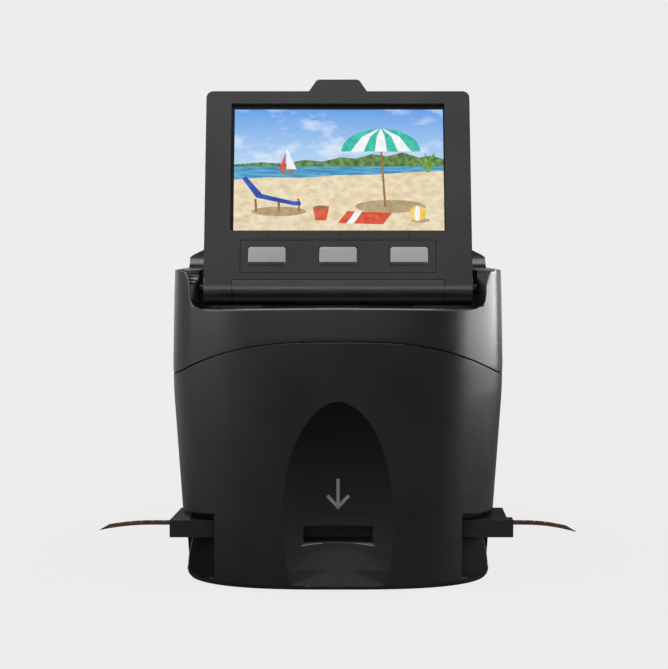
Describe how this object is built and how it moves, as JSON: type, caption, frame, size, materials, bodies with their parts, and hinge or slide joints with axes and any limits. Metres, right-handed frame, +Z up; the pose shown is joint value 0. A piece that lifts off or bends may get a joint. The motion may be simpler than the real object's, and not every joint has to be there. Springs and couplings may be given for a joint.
{
  "type": "film negative scanner",
  "caption": "Upright desktop film scanner with a flip-up display with soft keys, hinged over a well in its top, and a film holder that slides through a port low in its sides.",
  "frame": {"origin": "on the surface the feet rest on, below the centre of the bounding box at rest", "axes": "+Z up, -Y towards the user and the front, +X to the user's right, along the film"},
  "size_m": [0.1832, 0.12, 0.1925],
  "materials": {
    "housing": "satin moulded",
    "dark_face": "satin moulded",
    "black_plastic": "fine textured",
    "key_plastic": "satin",
    "steel": "plain",
    "rubber": "matte",
    "board": "solder mask",
    "chip": "moulded epoxy",
    "led": "moulded",
    "diffuser": "opal",
    "lens": "coated",
    "lens_barrel": "matte",
    "sensor": "ceramic and glass",
    "screen_glass": "clear hard coat",
    "panel": "satin",
    "magnet": "nickel plated",
    "film": "clear base, brown dye"
  },
  "bodies": {
    "housing": {"lower_housing": "housing", "upper_housing": "housing", "base_plate": "black_plastic", "rubber_feet": "rubber", "base_screws": "steel", "film_track": "black_plastic", "gate_roof": "black_plastic", "detent_springs": "steel", "light_board": "board", "light_leds": "led", "light_diffuser": "diffuser", "optics_tower": "black_plastic", "lens_barrel": "lens_barrel", "lens_elements": "lens", "sensor_board": "board", "image_sensor": "sensor", "sensor_screws": "steel", "main_board": "board", "board_chips": "chip", "board_screws": "steel", "usb_socket": "steel", "video_socket": "steel", "card_socket": "steel", "power_switch": "chip", "hinge_brackets": "steel", "bracket_screws": "steel"},
    "screen": {"screen_front_frame": "dark_face", "screen_back_cover": "housing", "barrel_cover": "dark_face", "hinge_shafts": "steel", "lcd_glass": "screen_glass", "lcd_panel": "panel", "key_bezel": "dark_face", "key_board": "board", "key_switches": "steel", "screen_screws": "steel"},
    "key_left": {"key_left": "key_plastic"},
    "key_middle": {"key_middle": "key_plastic"},
    "key_right": {"key_right": "key_plastic"},
    "holder": {"holder_base": "black_plastic", "holder_cover": "black_plastic", "holder_hinge_pin": "steel", "holder_magnets": "magnet"},
    "film": {"film_strip": "film"},
    "power_button": {"power_button": "key_plastic"}
  },
  "joints": [
    {"name": "screen_hinge", "type": "hinge", "parent": "housing", "child": "screen", "pos_m": [0, -0.038, 0.113], "axis": [1, 0, 0], "range_deg": [-70.7, 0]},
    {"name": "key_left_press", "type": "slide", "parent": "screen", "child": "key_left", "axis": [0, 0.9438, -0.3305], "range_m": [0, 0.0008], "stiffness_N_per_m": 900, "springref_m": -0.0012},
    {"name": "key_middle_press", "type": "slide", "parent": "screen", "child": "key_middle", "axis": [0, 0.9438, -0.3305], "range_m": [0, 0.0008], "stiffness_N_per_m": 900, "springref_m": -0.0012},
    {"name": "key_right_press", "type": "slide", "parent": "screen", "child": "key_right", "axis": [0, 0.9438, -0.3305], "range_m": [0, 0.0008], "stiffness_N_per_m": 900, "springref_m": -0.0012},
    {"name": "power_press", "type": "slide", "parent": "housing", "child": "power_button", "axis": [0, 0, -1], "range_m": [0, 0.0007], "stiffness_N_per_m": 900, "springref_m": -0.0012},
    {"name": "holder_slide", "type": "slide", "parent": "housing", "child": "holder", "axis": [1, 0, 0], "range_m": [0, 0.12]},
    {"name": "film_pull", "type": "slide", "parent": "holder", "child": "film", "axis": [1, 0, 0], "range_m": [-0.00423, 0.00423]}
  ]
}
